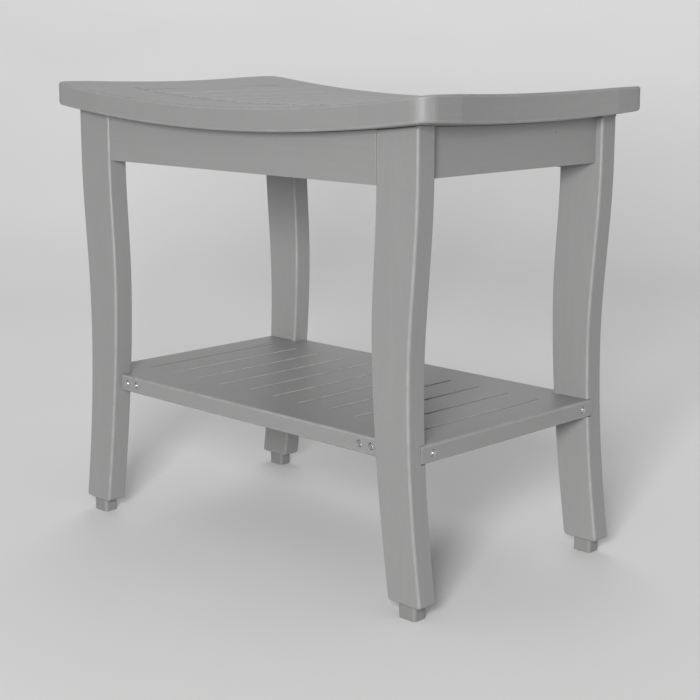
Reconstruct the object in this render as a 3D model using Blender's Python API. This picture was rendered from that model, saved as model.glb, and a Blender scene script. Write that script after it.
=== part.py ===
"""Slatted hardwood bath bench with a saddle seat, a lower shelf and levelling feet.

Units are metres and +Z is up. The origin is on the floor, under the middle of the seat.
X runs along the seat, Y across it, and the front of the bench faces -Y.
"""
import math

import bmesh
import bpy
from mathutils import Matrix, Vector

# Clearance between pieces that touch
GAP = 0.0003

# Seat
SEAT_LENGTH = 0.5144
SEAT_DEPTH = 0.3136
SEAT_THICKNESS = 0.0222
SEAT_TOP_AT_ENDS = 0.4580
SEAT_SAG = 0.0173
SEAT_END_DISH = 0.0017
SEAT_END_BELLY = 0.0055
SEAT_END_HOLLOW = 0.0084
SEAT_HOLLOW_HALF_WIDTH = 0.112
SEAT_CORNER_RADIUS = 0.017
SEAT_EDGE_RADIUS = 0.0024
SEAT_SLAT_PITCH = 0.0363
SEAT_PANEL_LENGTH = 0.4066
SEAT_PANEL_DEPTH = 0.1858
SEAT_PANEL_RISE = 0.0010
SLATS = 10
SLAT_SPACING = 0.0030

# Tongues on the ends of the slats, and the slots in the rails that hold them
TONGUE_LENGTH = 0.0070
TONGUE_THICKNESS = 0.0060

# Legs: the outer and inner edges are curves that bow in at the waist
LEG_FRONT = 0.1399
LEG_THICKNESS = 0.0219
LEG_BOTTOM = 0.0140
LEG_EDGE_RADIUS = 0.0023
LEG_OUTER_FOOT = 0.2425
LEG_INNER_FOOT = 0.2039
LEG_FOOT_SPLAY = 0.15
LEG_FOOT_STRAIGHT = 0.07
LEG_FOOT_CORNER = 0.0035
LEG_OUTER_WAIST = (0.2263, 0.215)
LEG_INNER_WAIST = (0.1818, 0.255)
LEG_OUTER_SHOULDER = (0.2350, 0.385)
LEG_INNER_SHOULDER = (0.1865, 0.376)
LEG_TOP_BLANK = 0.4250

# Aprons
APRON_THICKNESS = 0.018
FRONT_APRON_FACE = 0.1389
FRONT_APRON_BOTTOM = 0.3795
SIDE_APRON_FACE = 0.2278
SIDE_APRON_BOTTOM = 0.3862
TENON_LENGTH = 0.012
TENON_THICKNESS = 0.008
TENON_HEIGHT = 0.022
TENON_ABOVE_BOTTOM = 0.008
NAIL_HOLE_RADIUS = 0.0009
NAIL_HOLE_DEPTH = 0.004
NAIL_HOLE_PLACE = (0.0573, 0.4180)

# Shelf
SHELF_TOP = 0.1560
SHELF_THICKNESS = 0.0170
SHELF_EDGE_RADIUS = 0.0022
SHELF_RAIL_FACE = 0.1326
SHELF_RAIL_HALF_LENGTH = 0.1854
SHELF_SLAT_PITCH = 0.03825
SHELF_SLAT_HALF_LENGTH = 0.0890
SHELF_END_FACE = 0.2290
SHELF_END_HALF_DEPTH = 0.1243

# Screws that hold the shelf together
SCREW_HEAD_RADIUS = 0.0031
SCREW_HEAD_HEIGHT = 0.0024
SCREW_SHANK_RADIUS = 0.0020
SCREW_SINK = 0.0010
SCREW_RECESS_DEPTH = 0.0014
SCREW_RECESS_WIDTH = 0.0009
SCREW_RECESS_SPAN = 0.0038
FRONT_SCREW_LENGTH = 0.058
FRONT_SCREW_PLACES = (0.1612, 0.1755)
SIDE_SCREW_LENGTH = 0.047
SIDE_SCREW_PLACE = 0.1096

# Levelling feet
FOOT_X = 0.2236
FOOT_Y = 0.1290
PAD_LENGTH = 0.0200
PAD_DEPTH = 0.0153
PAD_CORNER_RADIUS = 0.0030
PAD_EDGE_RADIUS = 0.0006
STUD_RADIUS = 0.0040
STUD_TOP = 0.0400
STUD_HEAD_RADIUS = 0.0052
STUD_HEAD_BOTTOM = 0.0038
STUD_HEAD_TOP = 0.0078
STUD_SOCKET_RADIUS = 0.0023
STUD_SOCKET_DEPTH = 0.0030
KEY_HOLE_RADIUS = 0.0028
INSERT_RADIUS = 0.0060
INSERT_LENGTH = 0.0200
BORE_BEYOND_STUD = 0.0025

# Colours, roughness and metallic value of each material
WOOD = ("grey_hardwood", (0.30, 0.30, 0.295), 0.5, 0.0)
STEEL = ("stainless_steel", (0.55, 0.55, 0.55), 0.35, 1.0)
BRASS = ("brass", (0.60, 0.50, 0.28), 0.35, 1.0)
RUBBER = ("foot_rubber", (0.26, 0.26, 0.26), 0.75, 0.0)

# Fineness: how many straight steps stand in for each curve
ROUND_SIDES = 20
SCREW_SIDES = 12
HEX_SIDES = 6
CURVE_STEPS = 7
EDGE_STEPS = 1
CORNER_STEPS = 6
PAD_CORNER_STEPS = 3
LONG_BEND_STEPS = 16
SHORT_BEND_STEPS = 8
END_BOARD_STEPS = 5
SMOOTH_ANGLE = math.radians(35)

# Part of a round corner's length that its curve handles take
ROUND_HANDLE = 0.55

CUTTER_OVERRUN = 0.002
WELD = 0.00001
FLAT = 0.001


def clear_scene():
    for obj in list(bpy.data.objects):
        bpy.data.objects.remove(obj, do_unlink=True)


def new_collection(name):
    collection = bpy.data.collections.new(name)
    bpy.context.scene.collection.children.link(collection)
    return collection


def make_material(spec):
    name, colour, roughness, metallic = spec
    material = bpy.data.materials.new(name)
    material.use_nodes = True
    shader = material.node_tree.nodes["Principled BSDF"]
    shader.inputs["Base Color"].default_value = (*colour, 1.0)
    shader.inputs["Roughness"].default_value = roughness
    shader.inputs["Metallic"].default_value = metallic
    material.diffuse_color = (*colour, 1.0)
    return material


def shade(mesh):
    mesh.shade_smooth()
    mesh.set_sharp_from_angle(angle=SMOOTH_ANGLE)


# ---- solids ----------------------------------------------------------------

def object_from_bmesh(name, bm, collection):
    mesh = bpy.data.meshes.new(name)
    bm.to_mesh(mesh)
    bm.free()
    obj = bpy.data.objects.new(name, mesh)
    collection.objects.link(obj)
    return obj


def box(name, low, high, collection):
    """A block between two opposite corners."""
    low, high = Vector(low), Vector(high)
    bm = bmesh.new()
    bmesh.ops.create_cube(bm, size=1.0)
    bmesh.ops.scale(bm, vec=high - low, verts=bm.verts)
    bmesh.ops.translate(bm, vec=(low + high) / 2, verts=bm.verts)
    return object_from_bmesh(name, bm, collection)


def rod(name, radius, start, end, sides, collection):
    """A cylinder between two points on its axis."""
    start, end = Vector(start), Vector(end)
    along = end - start
    bm = bmesh.new()
    bmesh.ops.create_cone(bm, cap_ends=True, segments=sides, radius1=radius, radius2=radius,
                          depth=along.length)
    turn = along.to_track_quat("Z", "Y").to_matrix().to_4x4()
    bmesh.ops.transform(bm, matrix=Matrix.Translation((start + end) / 2) @ turn, verts=bm.verts)
    return object_from_bmesh(name, bm, collection)


def solid_from_curve(curve, collection):
    """Turn an extruded outline into one welded mesh, with its flat faces whole."""
    source = bpy.data.objects.new(curve.name, curve)
    collection.objects.link(source)
    bpy.context.view_layer.update()
    depsgraph = bpy.context.evaluated_depsgraph_get()
    mesh = bpy.data.meshes.new_from_object(source.evaluated_get(depsgraph))
    bm = bmesh.new()
    bm.from_mesh(mesh)
    bpy.data.objects.remove(source, do_unlink=True)
    bpy.data.meshes.remove(mesh)
    bmesh.ops.remove_doubles(bm, verts=bm.verts, dist=WELD)
    bmesh.ops.dissolve_limit(bm, angle_limit=FLAT, verts=bm.verts, edges=bm.edges)
    bmesh.ops.recalc_face_normals(bm, faces=bm.faces)
    return bm


def flat_curve(name, thickness, edge_radius):
    """An outline that fills and thickens into a board with rounded edges."""
    curve = bpy.data.curves.new(name, "CURVE")
    curve.dimensions = "2D"
    curve.fill_mode = "BOTH"
    curve.extrude = thickness / 2 - edge_radius
    curve.bevel_depth = edge_radius
    curve.bevel_resolution = EDGE_STEPS
    curve.offset = -edge_radius
    curve.resolution_u = CURVE_STEPS
    return curve


def board(name, outline, bottom, thickness, edge_radius, collection):
    """A board from a plan outline of straight stretches."""
    curve = flat_curve(name, thickness, edge_radius)
    spline = curve.splines.new("POLY")
    spline.points.add(len(outline) - 1)
    for point, (x, y) in zip(spline.points, outline):
        point.co = (x, y, 0.0, 1.0)
    spline.use_cyclic_u = True
    bm = solid_from_curve(curve, collection)
    bmesh.ops.translate(bm, vec=(0.0, 0.0, bottom + thickness / 2), verts=bm.verts)
    return object_from_bmesh(name, bm, collection)


def combine(obj, other, operation):
    modifier = obj.modifiers.new(f"{operation.lower()}_{other.name}", "BOOLEAN")
    modifier.operation = operation
    modifier.solver = "EXACT"
    modifier.object = other


def settle(obj):
    """Replace an object's mesh with the result of its modifiers."""
    bpy.context.view_layer.update()
    depsgraph = bpy.context.evaluated_depsgraph_get()
    finished = bpy.data.meshes.new_from_object(obj.evaluated_get(depsgraph))
    obj.modifiers.clear()
    bm = bmesh.new()
    bm.from_mesh(finished)
    bpy.data.meshes.remove(finished)
    bmesh.ops.remove_doubles(bm, verts=bm.verts, dist=WELD)
    bmesh.ops.dissolve_limit(bm, angle_limit=FLAT, verts=bm.verts, edges=bm.edges)
    bm.to_mesh(obj.data)
    bm.free()


def mirrored_copy(obj, name, side_x, side_y, collection):
    """A copy of a finished piece, mirrored into another corner of the bench."""
    mesh = obj.data.copy()
    mesh.name = name
    mesh.transform(Matrix.Diagonal((side_x, side_y, 1.0, 1.0)))
    if side_x * side_y < 0:
        mesh.flip_normals()
    copy = bpy.data.objects.new(name, mesh)
    collection.objects.link(copy)
    return copy


def slice_across(bm, axis, stations):
    """Add rows of edges where planes across an axis pass through a solid."""
    normal = Vector((0.0, 0.0, 0.0))
    normal[axis] = 1.0
    for station in stations:
        everything = bm.verts[:] + bm.edges[:] + bm.faces[:]
        bmesh.ops.bisect_plane(bm, geom=everything, plane_co=normal * station, plane_no=normal)


# ---- shape of the seat -----------------------------------------------------

def lift(x):
    """How far the saddle has risen from its middle to x, from 0 to 1 at the ends."""
    return (2 * x / SEAT_LENGTH) ** 2


def across(y):
    """1 on the centre line, falling to 0 at the front and back edges."""
    return 1 - (2 * y / SEAT_DEPTH) ** 2


def seat_top(x, y):
    middle = SEAT_TOP_AT_ENDS - SEAT_SAG
    return middle + lift(x) * (SEAT_SAG - SEAT_END_DISH * across(y) ** 2)


def seat_bottom(x, y):
    middle = SEAT_TOP_AT_ENDS - SEAT_SAG - SEAT_THICKNESS
    return middle + lift(x) * (SEAT_SAG - SEAT_END_BELLY * across(y))


def even_steps(half_span, count):
    return [half_span * (2 * i / count - 1) for i in range(count + 1)]


def bend_to_saddle(obj, x_stations, y_stations):
    """Bend a flat seat piece, drawn from z = 0 up, to the curves of the seat."""
    bm = bmesh.new()
    bm.from_mesh(obj.data)
    slice_across(bm, 0, x_stations)
    slice_across(bm, 1, y_stations)
    for vert in bm.verts:
        x, y, height = vert.co
        low, high = seat_bottom(x, y), seat_top(x, y)
        vert.co.z = low + (high - low) * height / SEAT_THICKNESS
    bm.to_mesh(obj.data)
    bm.free()


def tuck_under_seat(obj, flat_top, x_stations, y_stations):
    """Shape the flat top of a leg or an apron to the underside of the seat."""
    bm = bmesh.new()
    bm.from_mesh(obj.data)
    slice_across(bm, 0, x_stations)
    slice_across(bm, 1, y_stations)
    for vert in bm.verts:
        if vert.co.z > flat_top - LEG_EDGE_RADIUS - FLAT:
            vert.co.z += seat_bottom(vert.co.x, vert.co.y) - GAP - flat_top
    bm.to_mesh(obj.data)
    bm.free()


# ---- seat ------------------------------------------------------------------

def seat_outline():
    """Plan of the seat: rounded corners, and a shallow hollow in each end."""
    half_length, half_depth = SEAT_LENGTH / 2, SEAT_DEPTH / 2
    radius = SEAT_CORNER_RADIUS
    angles = [math.pi / 2 * step / CORNER_STEPS for step in range(CORNER_STEPS + 1)]
    quarter = [(half_length - radius + radius * math.sin(angle),
                -half_depth + radius - radius * math.cos(angle)) for angle in angles]
    hollow = [(half_length - SEAT_END_HOLLOW * (1 - (y / SEAT_HOLLOW_HALF_WIDTH) ** 2), y)
              for y in even_steps(SEAT_HOLLOW_HALF_WIDTH, SHORT_BEND_STEPS)]
    right = quarter + hollow + [(x, -y) for x, y in reversed(quarter)]
    return right + [(-x, -y) for x, y in right]


def make_seat(parts, cutters):
    blank = board("seat_blank", seat_outline(), 0.0, SEAT_THICKNESS, SEAT_EDGE_RADIUS, cutters)
    panel_x, panel_y = SEAT_PANEL_LENGTH / 2, SEAT_PANEL_DEPTH / 2
    slat_end = SEAT_SLAT_PITCH * SLATS / 2
    frame_x = slat_end + SLAT_SPACING / 2
    over = SEAT_THICKNESS + CUTTER_OVERRUN
    slot = slot_cutter("seat_slot", frame_x, panel_y, SEAT_THICKNESS / 2, cutters)

    rail = box("seat_front_rail", (-frame_x + GAP, -SEAT_DEPTH, -CUTTER_OVERRUN),
               (frame_x - GAP, -panel_y - GAP, over), parts)
    combine(rail, blank, "INTERSECT")
    combine(rail, slot, "DIFFERENCE")
    settle(rail)
    end_board = box("seat_right_end_board", (frame_x, -SEAT_DEPTH, -CUTTER_OVERRUN),
                    (SEAT_LENGTH, SEAT_DEPTH, over), parts)
    combine(end_board, blank, "INTERSECT")
    land = box("seat_land", (frame_x, -panel_y, SEAT_THICKNESS / 2),
               (panel_x, panel_y, SEAT_THICKNESS + SEAT_PANEL_RISE), cutters)
    combine(end_board, land, "UNION")
    settle(end_board)

    bend_to_saddle(rail, even_steps(frame_x, LONG_BEND_STEPS), [])
    board_width = SEAT_LENGTH / 2 - frame_x
    columns = [frame_x + board_width * step / END_BOARD_STEPS for step in range(1, END_BOARD_STEPS)]
    bend_to_saddle(end_board, columns, even_steps(SEAT_DEPTH / 2, SHORT_BEND_STEPS))
    pieces = [rail, end_board]
    pieces.append(mirrored_copy(rail, "seat_back_rail", 1, -1, parts))
    pieces.append(mirrored_copy(end_board, "seat_left_end_board", -1, 1, parts))
    for index in range(SLATS):
        slat = make_slat(f"seat_slat_{index + 1:02d}", index, SEAT_SLAT_PITCH, panel_y,
                         (0.0, SEAT_THICKNESS + SEAT_PANEL_RISE), SEAT_THICKNESS / 2, parts, cutters)
        settle(slat)
        centre = slat_centre(index, SEAT_SLAT_PITCH)
        bend_to_saddle(slat, [centre], [])
        pieces.append(slat)
    return pieces


def slat_centre(index, pitch):
    return (index - (SLATS - 1) / 2) * pitch


def slot_cutter(name, half_length, inner_edge, height, cutters):
    """The slot along a front rail's inner edge that takes the slats' tongues."""
    half = TONGUE_THICKNESS / 2
    return box(name, (-half_length - CUTTER_OVERRUN, -inner_edge - TONGUE_LENGTH, height - half),
               (half_length + CUTTER_OVERRUN, -inner_edge + CUTTER_OVERRUN, height + half), cutters)


def make_slat(name, index, pitch, half_length, levels, tongue_height, parts, cutters):
    """A slat between two rails, with a tongue on each end."""
    centre = slat_centre(index, pitch)
    half_width = (pitch - SLAT_SPACING) / 2
    bottom, top = levels
    slat = box(name, (centre - half_width, -half_length, bottom),
               (centre + half_width, half_length, top), parts)
    reach = half_length + TONGUE_LENGTH - 2 * GAP
    half_tongue = TONGUE_THICKNESS / 2 - GAP
    tongue = box(f"{name}_tongue", (centre - half_width, -reach, tongue_height - half_tongue),
                 (centre + half_width, reach, tongue_height + half_tongue), cutters)
    combine(slat, tongue, "UNION")
    return slat


# ---- legs ------------------------------------------------------------------

def foot_corner_knots(x, inward):
    """Two curve knots that round a corner of the foot; inward is the bottom edge's direction."""
    corner = Vector((x, LEG_BOTTOM, 0.0))
    up = Vector((-LEG_FOOT_SPLAY, 1.0, 0.0))
    on_edge = corner + up * LEG_FOOT_CORNER
    on_bottom = corner + Vector((inward * LEG_FOOT_CORNER, 0.0, 0.0))
    edge_knot = (on_edge, on_edge.lerp(corner, ROUND_HANDLE), on_edge + up * LEG_FOOT_STRAIGHT)
    bottom_knot = (on_bottom, on_bottom, on_bottom.lerp(corner, ROUND_HANDLE))
    return edge_knot, bottom_knot


def side_knots(places):
    """Knots up or down one side of the leg, where the edge passes each place upright."""
    knots = []
    for before, place, after in zip(places, places[1:], places[2:]):
        x, z = place
        knots.append((Vector((x, z, 0.0)), Vector((x, z + (before[1] - z) / 3, 0.0)),
                      Vector((x, z + (after[1] - z) / 3, 0.0))))
    return knots


def leg_curve():
    """Side view of a leg, drawn in the curve's own X and Y, which become X and Z."""
    outer_top = (LEG_OUTER_SHOULDER[0], LEG_TOP_BLANK)
    inner_top = (LEG_INNER_SHOULDER[0], LEG_TOP_BLANK)
    outer_edge, outer_bottom = foot_corner_knots(LEG_OUTER_FOOT, -1)
    inner_edge, inner_bottom = foot_corner_knots(LEG_INNER_FOOT, 1)
    outer_places = [(LEG_OUTER_FOOT, LEG_BOTTOM), LEG_OUTER_WAIST, LEG_OUTER_SHOULDER, outer_top]
    inner_places = [inner_top, LEG_INNER_SHOULDER, LEG_INNER_WAIST, (LEG_INNER_FOOT, LEG_BOTTOM)]
    top_knots = [(Vector((*place, 0.0)),) * 3 for place in (outer_top, inner_top)]
    knots = [outer_bottom, outer_edge, *side_knots(outer_places), *top_knots,
             *side_knots(inner_places), (inner_edge[0], inner_edge[2], inner_edge[1]),
             (inner_bottom[0], inner_bottom[2], inner_bottom[1])]

    curve = flat_curve("leg_outline", LEG_THICKNESS, LEG_EDGE_RADIUS)
    spline = curve.splines.new("BEZIER")
    spline.bezier_points.add(len(knots) - 1)
    for point, (place, handle_before, handle_after) in zip(spline.bezier_points, knots):
        point.handle_left_type = "FREE"
        point.handle_right_type = "FREE"
        point.co = place
        point.handle_left = handle_before
        point.handle_right = handle_after
    spline.use_cyclic_u = True
    return curve


def make_legs(parts, cutters):
    """One leg with its mortises, housing and bore, and three mirrored copies."""
    bm = solid_from_curve(leg_curve(), cutters)
    stand_up = Matrix.Rotation(math.radians(90), 4, "X")
    place = Matrix.Translation((0.0, LEG_FRONT - LEG_THICKNESS / 2, 0.0))
    bmesh.ops.transform(bm, matrix=place @ stand_up, verts=bm.verts)
    leg = object_from_bmesh("leg_back_right", bm, parts)
    inner_face = LEG_FRONT - LEG_THICKNESS

    half = TENON_THICKNESS / 2 + GAP
    front_y = FRONT_APRON_FACE - APRON_THICKNESS / 2
    front_z = FRONT_APRON_BOTTOM + TENON_ABOVE_BOTTOM
    side_x = SIDE_APRON_FACE - APRON_THICKNESS / 2
    side_z = SIDE_APRON_BOTTOM + TENON_ABOVE_BOTTOM
    shoulder = LEG_INNER_SHOULDER[0]
    front_mortise = box("front_mortise", (shoulder - CUTTER_OVERRUN, front_y - half, front_z - GAP),
                        (shoulder + TENON_LENGTH + GAP, front_y + half,
                         front_z + TENON_HEIGHT + GAP), cutters)
    side_mortise = box("side_mortise", (side_x - half, inner_face - CUTTER_OVERRUN, side_z - GAP),
                       (side_x + half, inner_face + TENON_LENGTH + GAP,
                        side_z + TENON_HEIGHT + GAP), cutters)
    housing_x = SHELF_SLAT_PITCH * SLATS / 2 + SLAT_SPACING / 2 - GAP
    housing = box("shelf_housing",
                  (housing_x, inner_face - CUTTER_OVERRUN, SHELF_TOP - SHELF_THICKNESS - GAP),
                  (LEG_OUTER_FOOT, SHELF_END_HALF_DEPTH + GAP, SHELF_TOP + GAP), cutters)
    insert_bore = rod("insert_bore", INSERT_RADIUS + GAP, (FOOT_X, FOOT_Y, LEG_BOTTOM - CUTTER_OVERRUN),
                      (FOOT_X, FOOT_Y, LEG_BOTTOM + INSERT_LENGTH + 2 * GAP), ROUND_SIDES, cutters)
    stud_bore = rod("stud_bore", STUD_RADIUS + GAP, (FOOT_X, FOOT_Y, LEG_BOTTOM),
                    (FOOT_X, FOOT_Y, STUD_TOP + BORE_BEYOND_STUD), ROUND_SIDES, cutters)
    for cutter in (front_mortise, side_mortise, housing, insert_bore, stud_bore):
        combine(leg, cutter, "DIFFERENCE")
    settle(leg)
    tuck_under_seat(leg, LEG_TOP_BLANK, [(LEG_OUTER_SHOULDER[0] + LEG_INNER_SHOULDER[0]) / 2], [])
    return [leg,
            mirrored_copy(leg, "leg_back_left", -1, 1, parts),
            mirrored_copy(leg, "leg_front_right", 1, -1, parts),
            mirrored_copy(leg, "leg_front_left", -1, -1, parts)]


# ---- aprons ----------------------------------------------------------------

def make_aprons(parts, cutters):
    """Boards under the seat that join the legs with tenons, two long and two short."""
    half_tenon = TENON_THICKNESS / 2
    long_half = LEG_INNER_SHOULDER[0] - GAP
    long_y = FRONT_APRON_FACE - APRON_THICKNESS / 2
    tenon_z = FRONT_APRON_BOTTOM + TENON_ABOVE_BOTTOM
    back = box("apron_back", (-long_half, FRONT_APRON_FACE - APRON_THICKNESS, FRONT_APRON_BOTTOM),
               (long_half, FRONT_APRON_FACE, LEG_TOP_BLANK), parts)
    reach = long_half + TENON_LENGTH
    tenon = box("long_tenon", (-reach, long_y - half_tenon, tenon_z),
                (reach, long_y + half_tenon, tenon_z + TENON_HEIGHT), cutters)
    combine(back, tenon, "UNION")
    settle(back)
    tuck_under_seat(back, LEG_TOP_BLANK, even_steps(long_half, LONG_BEND_STEPS)[1:-1], [])

    short_half = LEG_FRONT - LEG_THICKNESS - GAP
    short_x = SIDE_APRON_FACE - APRON_THICKNESS / 2
    tenon_z = SIDE_APRON_BOTTOM + TENON_ABOVE_BOTTOM
    right = box("apron_right", (SIDE_APRON_FACE - APRON_THICKNESS, -short_half, SIDE_APRON_BOTTOM),
                (SIDE_APRON_FACE, short_half, LEG_TOP_BLANK), parts)
    reach = short_half + TENON_LENGTH
    tenon = box("short_tenon", (short_x - half_tenon, -reach, tenon_z),
                (short_x + half_tenon, reach, tenon_z + TENON_HEIGHT), cutters)
    combine(right, tenon, "UNION")
    settle(right)
    left = mirrored_copy(right, "apron_left", -1, 1, parts)
    nail_y, nail_z = NAIL_HOLE_PLACE
    nail_hole = rod("nail_hole", NAIL_HOLE_RADIUS,
                    (SIDE_APRON_FACE - NAIL_HOLE_DEPTH, nail_y, nail_z),
                    (SIDE_APRON_FACE + CUTTER_OVERRUN, nail_y, nail_z), SCREW_SIDES, cutters)
    combine(right, nail_hole, "DIFFERENCE")
    settle(right)
    for apron in (left, right):
        tuck_under_seat(apron, LEG_TOP_BLANK, [], even_steps(short_half, SHORT_BEND_STEPS)[1:-1])
    front = mirrored_copy(back, "apron_front", 1, -1, parts)
    return [front, back, left, right]


# ---- shelf and its screws --------------------------------------------------

def screw_axis(index):
    """Where the head's top lies and which way each of the three screws of a corner runs."""
    height = SHELF_TOP - SHELF_THICKNESS / 2
    if index < len(FRONT_SCREW_PLACES):
        start = Vector((FRONT_SCREW_PLACES[index], SHELF_RAIL_FACE - SCREW_SINK, height))
        return start, Vector((0.0, -1.0, 0.0)), FRONT_SCREW_LENGTH
    start = Vector((SHELF_END_FACE - SCREW_SINK, SIDE_SCREW_PLACE, height))
    return start, Vector((-1.0, 0.0, 0.0)), SIDE_SCREW_LENGTH


def screw_clearance(index, cutters):
    """The counterbore and the shank hole that a screw needs."""
    start, along, length = screw_axis(index)
    head = rod(f"screw_counterbore_{index}", SCREW_HEAD_RADIUS + GAP, start - along * CUTTER_OVERRUN,
               start + along * (SCREW_HEAD_HEIGHT + GAP), SCREW_SIDES, cutters)
    shank = rod(f"screw_hole_{index}", SCREW_SHANK_RADIUS + GAP, start,
                start + along * (length + GAP), SCREW_SIDES, cutters)
    return [head, shank]


def make_screw(name, index, parts, cutters):
    """A round-headed screw with a cross recess."""
    start, along, length = screw_axis(index)
    screw = rod(name, SCREW_HEAD_RADIUS, start, start + along * SCREW_HEAD_HEIGHT, SCREW_SIDES, parts)
    shank = rod(f"{name}_shank", SCREW_SHANK_RADIUS, start + along * SCREW_HEAD_HEIGHT / 2,
                start + along * length, SCREW_SIDES, cutters)
    combine(screw, shank, "UNION")
    sideways = Vector((0.0, 0.0, 1.0)).cross(along)
    for label, reach in (("upright", Vector((0.0, 0.0, 1.0))), ("level", sideways)):
        broad = reach * SCREW_RECESS_SPAN / 2
        narrow = reach.cross(along) * SCREW_RECESS_WIDTH / 2
        deep = along * SCREW_RECESS_DEPTH
        ends = [start - along * CUTTER_OVERRUN - broad - narrow, start + deep + broad + narrow]
        low = [min(ends[0][axis], ends[1][axis]) for axis in range(3)]
        high = [max(ends[0][axis], ends[1][axis]) for axis in range(3)]
        combine(screw, box(f"{name}_{label}", low, high, cutters), "DIFFERENCE")
    settle(screw)
    return screw


def shelf_outline():
    """Plan of the shelf: the rails stand out between the legs, the ends pass into them."""
    leg_inner_face = LEG_FRONT - LEG_THICKNESS
    joint_x = SHELF_SLAT_PITCH * SLATS / 2
    corner = [
        (SHELF_RAIL_HALF_LENGTH, SHELF_RAIL_FACE),
        (SHELF_RAIL_HALF_LENGTH, leg_inner_face - GAP),
        (joint_x, leg_inner_face - GAP),
        (joint_x, SHELF_END_HALF_DEPTH),
        (SHELF_END_FACE, SHELF_END_HALF_DEPTH),
    ]
    right = corner + [(x, -y) for x, y in reversed(corner)]
    return right + [(-x, -y) for x, y in right]


def make_shelf(parts, cutters):
    bottom = SHELF_TOP - SHELF_THICKNESS
    middle = SHELF_TOP - SHELF_THICKNESS / 2
    joint_x = SHELF_SLAT_PITCH * SLATS / 2
    below, above = bottom - CUTTER_OVERRUN, SHELF_TOP + CUTTER_OVERRUN
    blank = board("shelf_blank", shelf_outline(), bottom, SHELF_THICKNESS, SHELF_EDGE_RADIUS, cutters)
    clearances = [screw_clearance(index, cutters) for index in range(3)]
    mirrored = [[mirrored_copy(cutter, f"{cutter.name}_left", -1, 1, cutters) for cutter in pair]
                for pair in clearances]

    rail_end = joint_x - SLAT_SPACING / 2 + GAP
    rail = box("shelf_back_rail", (-rail_end, SHELF_SLAT_HALF_LENGTH + GAP, below),
               (rail_end, LEG_FRONT, above), parts)
    combine(rail, blank, "INTERSECT")
    slot = slot_cutter("shelf_slot", rail_end, SHELF_SLAT_HALF_LENGTH, middle, cutters)
    combine(rail, mirrored_copy(slot, "shelf_back_slot", 1, -1, cutters), "DIFFERENCE")
    for cutter in sum(clearances + mirrored, []):
        combine(rail, cutter, "DIFFERENCE")
    settle(rail)

    end_board = box("shelf_right_end_board", (joint_x + SLAT_SPACING / 2, -LEG_FRONT, below),
                    (SHELF_END_FACE + CUTTER_OVERRUN, LEG_FRONT, above), parts)
    combine(end_board, blank, "INTERSECT")
    for cutter in clearances[2]:
        combine(end_board, cutter, "DIFFERENCE")
        front_cutter = mirrored_copy(cutter, f"{cutter.name}_front", 1, -1, cutters)
        combine(end_board, front_cutter, "DIFFERENCE")
    settle(end_board)

    pieces = [rail, end_board]
    pieces.append(mirrored_copy(rail, "shelf_front_rail", 1, -1, parts))
    pieces.append(mirrored_copy(end_board, "shelf_left_end_board", -1, 1, parts))
    for index in range(1, SLATS):
        slat = make_slat(f"shelf_slat_{index + 1:02d}", index, SHELF_SLAT_PITCH,
                         SHELF_SLAT_HALF_LENGTH, (bottom, SHELF_TOP), middle, parts, cutters)
        if index == SLATS - 1:
            for cutter in clearances[0] + clearances[1]:
                combine(slat, cutter, "DIFFERENCE")
                front_cutter = mirrored_copy(cutter, f"{cutter.name}_slat", 1, -1, cutters)
                combine(slat, front_cutter, "DIFFERENCE")
        settle(slat)
        pieces.append(slat)
    pieces.append(mirrored_copy(pieces[-1], "shelf_slat_01", -1, 1, parts))
    return pieces


def make_screws(parts, cutters):
    """Three screws at each corner of the shelf."""
    kinds = ("inner", "outer", "side")
    pieces = []
    for index, kind in enumerate(kinds):
        first = make_screw(f"shelf_screw_back_right_{kind}", index, parts, cutters)
        pieces.append(first)
        for place, side_x, side_y in (("back_left", -1, 1), ("front_right", 1, -1), ("front_left", -1, -1)):
            pieces.append(mirrored_copy(first, f"shelf_screw_{place}_{kind}", side_x, side_y, parts))
    return pieces


# ---- levelling feet --------------------------------------------------------

def rounded_rectangle(length, depth, radius):
    """Plan outline of a block with round upright corners, centred on the foot."""
    points = []
    for quadrant in range(4):
        sign_x = 1 if quadrant in (0, 3) else -1
        sign_y = 1 if quadrant in (0, 1) else -1
        for step in range(PAD_CORNER_STEPS + 1):
            angle = math.pi / 2 * (quadrant + step / PAD_CORNER_STEPS)
            points.append((sign_x * (length / 2 - radius) + radius * math.cos(angle),
                           sign_y * (depth / 2 - radius) + radius * math.sin(angle)))
    return points


def foot_axis(bottom, top):
    return (0.0, 0.0, bottom), (0.0, 0.0, top)


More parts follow.
